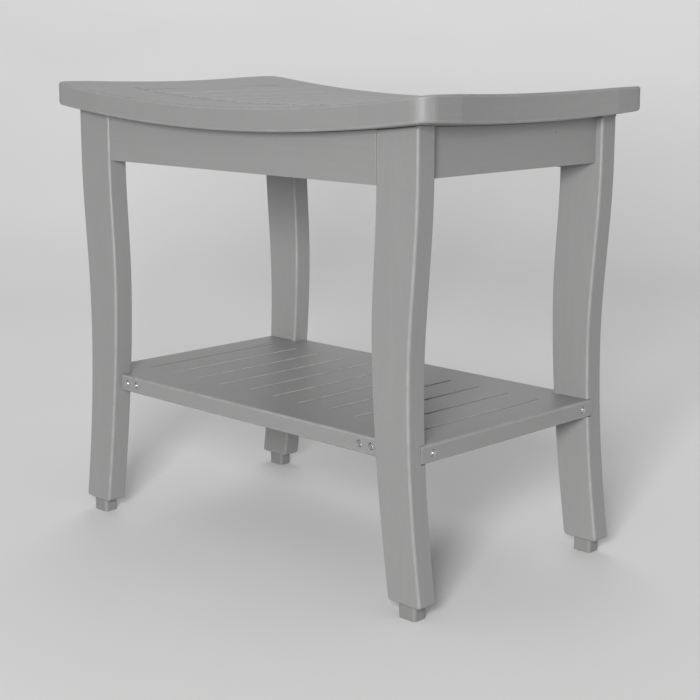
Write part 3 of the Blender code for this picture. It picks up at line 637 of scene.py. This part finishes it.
def ring_of_verts(bm, radius, height, sides):
    """One ring about the Z axis; the radius is a number, or None for the stud's thread."""
    if radius is not None and radius < WELD:
        return [bm.verts.new((0.0, 0.0, height))]
    ring = []
    for side in range(sides):
        angle = 2 * math.pi * side / sides
        out = thread_radius(angle, height) if radius is None else radius
        ring.append(bm.verts.new((out * math.cos(angle), out * math.sin(angle), height)))
    return ring


def join_rings(bm, rings, sides):
    for lower, upper in zip(rings, rings[1:]):
        for side in range(sides):
            after = (side + 1) % sides
            corners = [lower[side % len(lower)], lower[after % len(lower)],
                       upper[after % len(upper)], upper[side % len(upper)]]
            bm.faces.new(list(dict.fromkeys(corners)))
    bmesh.ops.recalc_face_normals(bm, faces=bm.faces)


def lathe(name, profile, sides=ROUND_SIDES):
    """Turn a profile of (radius, height) points, from bottom to top, about the Z axis."""
    bm = bmesh.new()
    rings = [ring_of_verts(bm, radius, height, sides) for radius, height in profile]
    join_rings(bm, rings, sides)
    return object_from_bmesh(name, bm)


def recess_wing(name, turn):
    """One tapering wing of the cross recess in a screw's head."""
    bm = bmesh.new()
    bmesh.ops.create_cube(bm, size=1.0)
    for vert in bm.verts:
        low = vert.co.z < 0
        reach_share, width_share = RECESS_FOOT if low else RECESS_MOUTH
        reach = RECESS_SPAN / 2 * reach_share
        half_width = RECESS_WIDTH / 2 * width_share
        vert.co = (math.copysign(reach, vert.co.x), math.copysign(half_width, vert.co.y),
                   -RECESS_DEPTH if low else CUTTER_OVERRUN)
    bmesh.ops.rotate(bm, matrix=Matrix.Rotation(math.radians(turn), 3, "Z"), verts=bm.verts)
    return object_from_bmesh(name, bm)


def make_screw(name, index):
    """A domed wood screw with a cross recess, turned about +Z and then laid on its axis."""
    start, along, length = screw_axis(index)
    profile = [(0.0, -length), (SCREW_SHANK_RADIUS * 0.4, -length + SCREW_POINT)]
    profile += [(SCREW_SHANK_RADIUS, -length + SCREW_TAPER), (SCREW_SHANK_RADIUS, -SCREW_HEAD_HEIGHT)]
    profile += [(SCREW_HEAD_RADIUS, -SCREW_HEAD_HEIGHT), (SCREW_HEAD_RADIUS, -SCREW_DOME)]
    for step in range(1, SCREW_DOME_STEPS + 1):
        angle = math.pi / 2 * step / SCREW_DOME_STEPS
        radius = SCREW_HEAD_RADIUS * math.cos(angle)
        profile.append((radius, -SCREW_DOME + SCREW_DOME * math.sin(angle)))
    screw = lathe(name, profile, SCREW_SIDES)
    for turn in (RECESS_TURN, RECESS_TURN + 90):
        combine(screw, recess_wing(f"{name}_wing_{turn}", turn))
    settle(screw)
    lay_down = (-along).to_track_quat("Z", "Y").to_matrix().to_4x4()
    screw.data.transform(Matrix.Translation(start) @ lay_down)
    return screw


OTHER_CORNERS = (("back_left", -1, 1), ("front_right", 1, -1), ("front_left", -1, -1))


def make_screws():
    made = {}
    for index, kind in enumerate(("inner", "outer", "side")):
        first = make_screw(f"shelf_screw_back_right_{kind}_made", index)
        made[f"shelf_screw_back_right_{kind}"] = first
        for place, side_x, side_y in OTHER_CORNERS:
            name = f"shelf_screw_{place}_{kind}"
            made[name] = mirrored_copy(first, f"{name}_made", side_x, side_y)
    return made


def rounded_rectangle(length, depth, radius):
    points = []
    for quadrant in range(4):
        sign_x = 1 if quadrant in (0, 3) else -1
        sign_y = 1 if quadrant in (0, 1) else -1
        for step in range(PAD_CORNER_STEPS + 1):
            angle = math.radians(90 * quadrant + 90 * step / PAD_CORNER_STEPS)
            points.append((sign_x * (length / 2 - radius) + radius * math.cos(angle),
                           sign_y * (depth / 2 - radius) + radius * math.sin(angle)))
    return points


def make_pad():
    """A rubber block with a chamber for the stud's head and a key hole through a ribbed sole."""
    size = PAD_HIGH - PAD_LOW
    pad = board("pad_master", rounded_rectangle(size.x, size.y, PAD_CORNER_RADIUS), 0.0, size.z,
                PAD_EDGE_RADIUS)
    hollows = ((KEY_HOLE_RADIUS, -CUTTER_OVERRUN, STUD_LOW.z),
               (STUD_HEAD_RADIUS + GAP, STUD_LOW.z - GAP, STUD_HEAD_TOP + GAP),
               (STUD_RADIUS + GAP, STUD_HEAD_TOP, size.z + CUTTER_OVERRUN))
    for number, (radius, bottom, top) in enumerate(hollows):
        combine(pad, rod(f"pad_hollow_{number}", radius, (0, 0, bottom), (0, 0, top)))
    half = PAD_GROOVE / 2
    for x in PAD_GROOVE_PLACES:
        combine(pad, box(f"pad_groove_{x}", (x - half, -size.y, -CUTTER_OVERRUN), (x + half, size.y, half)))
    settle(pad)
    return pad


def thread_radius(angle, height):
    """A V thread: how far the surface is from the axis at this angle and height."""
    phase = (height / THREAD_PITCH - angle / (2 * math.pi)) % 1.0
    crest = 1 - abs(2 * phase - 1)
    return STUD_RADIUS - THREAD_DEPTH * (1 - min(1.0, max(0.0, 1.25 * crest - 0.1)))


def make_stud():
    """A steel stud: disc head with a hex socket below, and a threaded shank above."""
    head, core = STUD_HEAD_RADIUS, STUD_RADIUS - THREAD_DEPTH
    profile = [(0.0, STUD_LOW.z), (head - STUD_CHAMFER, STUD_LOW.z), (head, STUD_LOW.z + STUD_CHAMFER),
               (head, STUD_HEAD_TOP - STUD_CHAMFER), (head - STUD_CHAMFER, STUD_HEAD_TOP),
               (core, STUD_HEAD_TOP), (core, STUD_HEAD_TOP + STUD_NECK)]
    height = STUD_HEAD_TOP + STUD_NECK + STUD_LEAD_IN
    while height < STUD_HIGH.z - 2 * STUD_LEAD_IN:
        profile.append((None, height))
        height += THREAD_PITCH / THREAD_ROWS
    profile += [(core, STUD_HIGH.z - STUD_LEAD_IN), (core - THREAD_DEPTH, STUD_HIGH.z), (0.0, STUD_HIGH.z)]
    bm = bmesh.new()
    rings = [ring_of_verts(bm, radius, height, STUD_SIDES) for radius, height in profile]
    join_rings(bm, rings, STUD_SIDES)
    stud = object_from_bmesh("stud_master", bm)
    socket = rod("stud_socket", STUD_SOCKET_RADIUS, (0, 0, STUD_LOW.z - CUTTER_OVERRUN),
                 (0, 0, STUD_LOW.z + STUD_SOCKET_DEPTH), 6)
    combine(stud, socket)
    settle(stud)
    return stud


def make_insert():
    """A brass insert: a flanged tube with coarse outer rings that bite in the wood."""
    radius = (INSERT_HIGH.x - INSERT_LOW.x) / 2
    bottom, top = INSERT_LOW.z, INSERT_HIGH.z
    bore = STUD_RADIUS + GAP / 2
    root = radius - INSERT_BITE
    lip = INSERT_LIP
    profile = [(bore + lip, bottom), (radius, bottom), (radius, bottom + 0.0015), (root, bottom + 0.0018)]
    height = bottom + 0.003
    while height < top - 0.002:
        profile += [(root, height), (radius - 0.0001, height + 0.0006), (root, height + 0.0012)]
        height += INSERT_RING_SPACING
    profile += [(root, top), (bore, top), (bore, bottom + lip), (bore + lip, bottom)]
    insert = lathe("insert_master", profile)
    bm = bmesh.new()
    bm.from_mesh(insert.data)
    bmesh.ops.remove_doubles(bm, verts=bm.verts, dist=WELD)
    bmesh.ops.recalc_face_normals(bm, faces=bm.faces)
    bm.to_mesh(insert.data)
    bm.free()
    return insert


def make_feet():
    made = {}
    masters = {"foot_pad": make_pad(), "foot_stud": make_stud(), "leg_insert": make_insert()}
    for depth_name, side_y in (("front", -1), ("back", 1)):
        for width_name, side_x in (("left", -1), ("right", 1)):
            for kind, master in masters.items():
                name = f"{kind}_{depth_name}_{width_name}"
                mesh = master.data.copy()
                mesh.transform(Matrix.Translation((side_x * FOOT_X, side_y * FOOT_Y, 0.0)))
                piece = bpy.data.objects.new(f"{name}_made", mesh)
                bpy.context.scene.collection.objects.link(piece)
                made[name] = piece
    for master in masters.values():
        bpy.data.objects.remove(master, do_unlink=True)
    return made


# ---- materials ---------------------------------------------------------------

class Nodes:
    """Short calls for building a node tree."""

    def __init__(self, name):
        self.material = bpy.data.materials.new(name)
        self.material.use_nodes = True
        self.tree = self.material.node_tree
        self.shader = self.tree.nodes["Principled BSDF"]

    def add(self, kind, inputs=None, **settings):
        node = self.tree.nodes.new(kind)
        for key, value in settings.items():
            setattr(node, key, value)
        for key, value in (inputs or {}).items():
            if isinstance(value, bpy.types.NodeSocket):
                self.tree.links.new(value, node.inputs[key])
            else:
                node.inputs[key].default_value = value
        return node

    def math(self, operation, first, second=0.0, third=0.0, clamp=False):
        node = self.add("ShaderNodeMath", {0: first, 1: second, 2: third}, operation=operation,
                        use_clamp=clamp)
        return node.outputs[0]

    def remap(self, value, low, high, to_low, to_high):
        node = self.add("ShaderNodeMapRange", {"Value": value, "From Min": low, "From Max": high,
                                               "To Min": to_low, "To Max": to_high})
        return node.outputs[0]

    def noise(self, vector, scale, detail=3.0, roughness=0.5):
        node = self.add("ShaderNodeTexNoise", {"Vector": vector, "Scale": scale, "Detail": detail,
                                               "Roughness": roughness})
        return node.outputs[0]

    def mix(self, factor, first, second, blend="MIX"):
        node = self.add("ShaderNodeMix", {0: factor, 6: first, 7: second}, data_type="RGBA",
                        blend_type=blend)
        return node.outputs[2]

    def attribute(self, name):
        return self.add("ShaderNodeAttribute", attribute_name=name).outputs["Fac"]

    def finish(self, colour, roughness, bump_height, bump_depth, metallic=0.0):
        bump = self.add("ShaderNodeBump", {"Height": bump_height, "Distance": bump_depth,
                                           "Strength": 1.0})
        self.tree.links.new(colour, self.shader.inputs["Base Color"])
        self.tree.links.new(roughness, self.shader.inputs["Roughness"])
        self.tree.links.new(bump.outputs[0], self.shader.inputs["Normal"])
        self.shader.inputs["Metallic"].default_value = metallic
        return self.material


QUARTER_TURN = math.radians(90)
GRAIN_TURNS = {"X": (0.0, QUARTER_TURN, 0.0), "Y": (QUARTER_TURN, 0.0, 0.0), "Z": (0.0, 0.0, 0.0)}
WOOD_DARK = (0.216, 0.216, 0.215, 1.0)
WOOD_LIGHT = (0.256, 0.256, 0.254, 1.0)
WOOD_PORE = (0.172, 0.172, 0.171, 1.0)
# Light grey of worn edges, also used as a painted highlight on rounded edges.
WOOD_WORN_AND_HIGHLIGHT = (0.37, 0.37, 0.367, 1.0)
WOOD_SPECULAR = 0.42
RUBBER_DARK = (0.175, 0.175, 0.174, 1.0)
RUBBER_LIGHT = (0.215, 0.215, 0.213, 1.0)
RUBBER_WORN = (0.30, 0.30, 0.30, 1.0)
STEEL = ((0.58, 0.58, 0.58, 1.0), (0.72, 0.72, 0.71, 1.0), 0.22, 0.36)
BRASS = ((0.47, 0.36, 0.16, 1.0), (0.62, 0.49, 0.24, 1.0), 0.26, 0.45)


def wood_material(axis):
    """Grey hardwood with its grain along one axis; each board shifts the figure and the tone."""
    n = Nodes(f"grey_hardwood_{axis.lower()}")
    n.shader.inputs["Specular IOR Level"].default_value = WOOD_SPECULAR
    place = n.add("ShaderNodeTexCoord").outputs["Object"]
    turned = n.add("ShaderNodeMapping", {"Vector": place, "Rotation": GRAIN_TURNS[axis]})
    board_value = n.attribute("board")
    shift = n.add("ShaderNodeCombineXYZ", {0: n.math("MULTIPLY", board_value, 3.1),
                                           1: n.math("MULTIPLY", board_value, 1.7),
                                           2: n.math("MULTIPLY", board_value, 5.3)})
    moved = n.add("ShaderNodeVectorMath", {0: turned.outputs[0], 1: shift.outputs[0]},
                  operation="ADD").outputs[0]
    long_grain = n.add("ShaderNodeMapping", {"Vector": moved, "Scale": (1.0, 1.0, 0.045)}).outputs[0]
    figure = n.noise(long_grain, 55.0, 2.0, 0.45)
    rings = n.math("FRACT", n.math("MULTIPLY", figure, 7.0))
    ring_phase = n.math("SUBTRACT", n.math("MULTIPLY", rings, 2.0), 1.0)
    ring_line = n.math("POWER", n.math("ABSOLUTE", ring_phase), 3.0)
    fibre = n.noise(long_grain, 900.0, 3.0, 0.6)
    short_grain = n.add("ShaderNodeMapping", {"Vector": moved, "Scale": (1.0, 1.0, 0.09)}).outputs[0]
    pores = n.remap(n.noise(short_grain, 1500.0, 1.0, 0.5), 0.64, 0.74, 0.0, 1.0)
    cloud = n.noise(long_grain, 14.0, 2.0, 0.5)

    normal = n.add("ShaderNodeTexCoord").outputs["Normal"]
    along = n.add("ShaderNodeSeparateXYZ", {0: normal}).outputs["XYZ".index(axis)]
    end_grain = n.remap(n.math("ABSOLUTE", along), 0.75, 0.95, 0.0, 1.0)
    end_dots = n.noise(moved, 1400.0, 2.0, 0.6)

    tone = n.math("ADD", n.math("MULTIPLY", ring_line, 0.16), n.math("MULTIPLY", fibre, 0.42))
    tone = n.math("ADD", tone, n.math("MULTIPLY", cloud, 0.30))
    tone = n.math("ADD", tone, n.math("MULTIPLY", n.math("SUBTRACT", board_value, 0.3), 0.06), clamp=True)
    colour = n.mix(tone, WOOD_DARK, WOOD_LIGHT)
    colour = n.mix(n.math("MULTIPLY", pores, 0.30), colour, WOOD_PORE)
    end_colour = n.mix(end_dots, WOOD_PORE, WOOD_DARK)
    colour = n.mix(n.math("MULTIPLY", end_grain, 0.12), colour, end_colour)
    # Rounded edges are lightened in patches: partly wear, partly a painted edge highlight.
    patches = n.remap(n.noise(moved, 70.0, 3.0, 0.6), 0.35, 0.65, 0.25, 1.0)
    wear_and_highlight = n.math("MULTIPLY", n.attribute("wear_and_highlight"), patches)
    colour = n.mix(wear_and_highlight, colour, WOOD_WORN_AND_HIGHLIGHT)

    roughness = n.remap(n.math("ADD", n.math("MULTIPLY", fibre, 0.6), n.math("MULTIPLY", cloud, 0.4)),
                        0.3, 0.7, 0.40, 0.48)
    roughness = n.math("SUBTRACT", roughness, n.math("MULTIPLY", wear_and_highlight, 0.06))
    ridges = n.math("ADD", n.math("MULTIPLY", fibre, 0.5), n.math("MULTIPLY", ring_line, 0.2))
    relief = n.math("SUBTRACT", ridges, n.math("MULTIPLY", pores, 0.6))
    return n.finish(colour, roughness, relief, 0.00006)


def rubber_material():
    n = Nodes("foot_rubber")
    place = n.add("ShaderNodeTexCoord").outputs["Object"]
    grain = n.noise(place, 2600.0, 2.0, 0.6)
    scuff = n.noise(place, 160.0, 3.0, 0.6)
    colour = n.mix(scuff, RUBBER_DARK, RUBBER_LIGHT)
    colour = n.mix(n.math("MULTIPLY", n.attribute("wear_and_highlight"), 0.4), colour, RUBBER_WORN)
    return n.finish(colour, n.remap(scuff, 0.3, 0.7, 0.62, 0.78), grain, 0.00012)


def metal_material(name, dark, light, rough_low, rough_high):
    """Turned and tumbled metal: fine scratches and a little tarnish."""
    n = Nodes(name)
    place = n.add("ShaderNodeTexCoord").outputs["Object"]
    stretched = n.add("ShaderNodeMapping", {"Vector": place, "Scale": (1.0, 1.0, 6.0)}).outputs[0]
    scratch = n.noise(stretched, 2200.0, 3.0, 0.65)
    tarnish = n.noise(place, 420.0, 2.0, 0.55)
    colour = n.mix(tarnish, dark, light)
    roughness = n.remap(n.math("ADD", n.math("MULTIPLY", scratch, 0.5), n.math("MULTIPLY", tarnish, 0.5)),
                        0.35, 0.65, rough_low, rough_high)
    return n.finish(colour, roughness, scratch, 0.00002, 1.0)


def floor_material():
    n = Nodes("pale_floor")
    place = n.add("ShaderNodeTexCoord").outputs["Object"]
    cloud = n.noise(place, 2.0, 2.0, 0.5)
    colour = n.mix(cloud, (0.62, 0.62, 0.62, 1.0), (0.66, 0.66, 0.66, 1.0))
    return n.finish(colour, n.remap(cloud, 0.0, 1.0, 0.75, 0.85), cloud, 0.0001)


# ---- finishing ---------------------------------------------------------------

def mark_edge_wear_and_highlight(mesh, strength):
    """Store on each narrow face of a rounded edge how sharply it turns, so that it can be made lighter:
    partly wear, partly a painted edge highlight.
    """
    bm = bmesh.new()
    bm.from_mesh(mesh)
    values = []
    for face in bm.faces:
        width = face.calc_area() / max(edge.calc_length() for edge in face.edges)
        turns = [edge.calc_face_angle_signed(0.0) for edge in face.edges if edge.is_manifold]
        turns = [turn for turn in turns if 0.0 < turn < WEAR_AND_HIGHLIGHT_LIMIT]
        worn_and_highlit = width < WEAR_AND_HIGHLIGHT_WIDTH and turns
        values.append(strength * min(1.0, max(turns) / WEAR_AND_HIGHLIGHT_FULL) if worn_and_highlit else 0.0)
    bm.free()
    attribute = mesh.attributes.new("wear_and_highlight", "FLOAT", "FACE")
    attribute.data.foreach_set("value", values)


def mark_board(mesh, value):
    attribute = mesh.attributes.new("board", "FLOAT", "POINT")
    attribute.data.foreach_set("value", [value] * len(mesh.vertices))


def grain_axis(name):
    if name.startswith("leg_"):
        return "Z"
    if "rail" in name or name in ("apron_front", "apron_back"):
        return "X"
    return "Y"


def even_normals(obj):
    """Let the flat faces keep their own direction beside a rounded edge."""
    modifier = obj.modifiers.new("normals", "WEIGHTED_NORMAL")
    modifier.keep_sharp = True
    modifier.weight = 100
    bpy.context.view_layer.update()
    depsgraph = bpy.context.evaluated_depsgraph_get()
    weighted = bpy.data.meshes.new_from_object(obj.evaluated_get(depsgraph),
                                               preserve_all_data_layers=True, depsgraph=depsgraph)
    obj.modifiers.clear()
    plain = obj.data
    obj.data = weighted
    bpy.data.meshes.remove(plain)


def finish_piece(name, piece, material, body, chance):
    mesh = piece.data
    # Edge mask for wear and painted highlight, stronger on the slats.
    mark_edge_wear_and_highlight(mesh, SLAT_WEAR_AND_HIGHLIGHT if "slat" in name else EDGE_WEAR_AND_HIGHLIGHT)
    mark_board(mesh, chance.random())
    mesh.shade_smooth()
    mesh.set_sharp_from_angle(angle=SMOOTH_ANGLE)
    mesh.materials.clear()
    mesh.materials.append(material)
    even_normals(piece)
    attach(piece, body)
    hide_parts(name)


def body_of_node(name):
    if name.startswith("foot_pad_"):
        return name.replace("foot_pad_", "pad_")
    if name.startswith("foot_stud_"):
        return name.replace("foot_stud_", "stud_")
    return "bench"


def build_bench():
    chance = random.Random(SEED)
    woods = {axis: wood_material(axis) for axis in "XYZ"}
    rubber = rubber_material()
    steel = metal_material("stainless_steel", *STEEL)
    brass = metal_material("turned_brass", *BRASS)
    wooden = {}
    for made in (make_seat(), make_legs(), make_aprons(), make_shelf()):
        wooden.update(made)
    for name in sorted(wooden):
        finish_piece(name, wooden[name], woods[grain_axis(name)], "bench", chance)
    small = {}
    small.update(make_screws())
    small.update(make_feet())
    for name in sorted(small):
        if name.startswith("foot_pad"):
            look, slot_name = rubber, "rubber"
        elif name.startswith("leg_insert"):
            look, slot_name = brass, "brass"
        else:
            look, slot_name = steel, "steel"
        finish_piece(name, small[name], look, body_of_node(name), chance)


# ---- floor, light and camera -------------------------------------------------

CAMERA_PLACE = (1.0782, -1.0790, 0.5051)
CAMERA_AZIMUTH = math.radians(45.04)
CAMERA_ELEVATION = math.radians(10.99)
CAMERA_LENS = 78.62
CAMERA_SHIFT = (0.0221, -0.0266)
FLOOR_RADIUS = 1.6
SWEEP_RADIUS = 4.0
SWEEP_ANGLE = math.radians(60)
SWEEP_STEPS = 24
FLOOR_SIDES = 64
LIGHT_TARGET = (0.1, -0.08, 0.30)
WORLD_STRENGTH = 0.48
KEY_PLACE = (1.02, -1.38, 0.70)
BACK_PLACE = (-1.3, 1.4, 2.2)


def make_floor():
    """A flat floor that sweeps up to a low wall all round, so that no horizon shows."""
    profile = [(0.0, 0.0)]
    for step in range(SWEEP_STEPS + 1):
        angle = SWEEP_ANGLE * step / SWEEP_STEPS
        profile.append((FLOOR_RADIUS + SWEEP_RADIUS * math.sin(angle),
                        SWEEP_RADIUS * (1 - math.cos(angle))))
    floor = lathe("floor", profile, FLOOR_SIDES)
    for face in floor.data.polygons:
        face.use_smooth = True
    floor.data.materials.append(floor_material())


def area_light(name, place, size, power, steady=False):
    """A soft square light; a steady one doesn't fade with distance, as if it were far away."""
    data = bpy.data.lights.new(name, "AREA")
    data.shape = "SQUARE"
    data.size = size
    data.energy = power
    if steady:
        data.use_nodes = True
        emission = data.node_tree.nodes["Emission"]
        falloff = data.node_tree.nodes.new("ShaderNodeLightFalloff")
        falloff.inputs["Strength"].default_value = 1.0
        data.node_tree.links.new(falloff.outputs["Constant"], emission.inputs["Strength"])
    light = bpy.data.objects.new(name, data)
    light.location = place
    direction = Vector(LIGHT_TARGET) - Vector(place)
    light.rotation_euler = direction.to_track_quat("-Z", "Y").to_euler()
    light.visible_camera = False
    bpy.context.scene.collection.objects.link(light)


def make_light():
    world = bpy.data.worlds.new("studio")
    world.use_nodes = True
    background = world.node_tree.nodes["Background"]
    background.inputs["Color"].default_value = (1.0, 1.0, 1.0, 1.0)
    background.inputs["Strength"].default_value = WORLD_STRENGTH
    bpy.context.scene.world = world
    bpy.context.scene.view_settings.view_transform = "Standard"
    area_light("key", KEY_PLACE, 0.45, 10.9, steady=True)
    area_light("back", BACK_PLACE, 1.4, 11.0)


def make_camera():
    azimuth, elevation = CAMERA_AZIMUTH, CAMERA_ELEVATION
    back = Vector((math.sin(azimuth) * math.cos(elevation), -math.cos(azimuth) * math.cos(elevation),
                   math.sin(elevation)))
    data = bpy.data.cameras.new("camera")
    data.sensor_width = 36.0
    data.lens = CAMERA_LENS
    data.shift_x, data.shift_y = CAMERA_SHIFT
    data.clip_start = 0.05
    camera = bpy.data.objects.new("camera", data)
    camera.location = CAMERA_PLACE
    camera.rotation_euler = back.to_track_quat("Z", "Y").to_euler()
    bpy.context.scene.collection.objects.link(camera)
    bpy.context.scene.camera = camera


make_camera()
make_light()
make_floor()
build_bench()
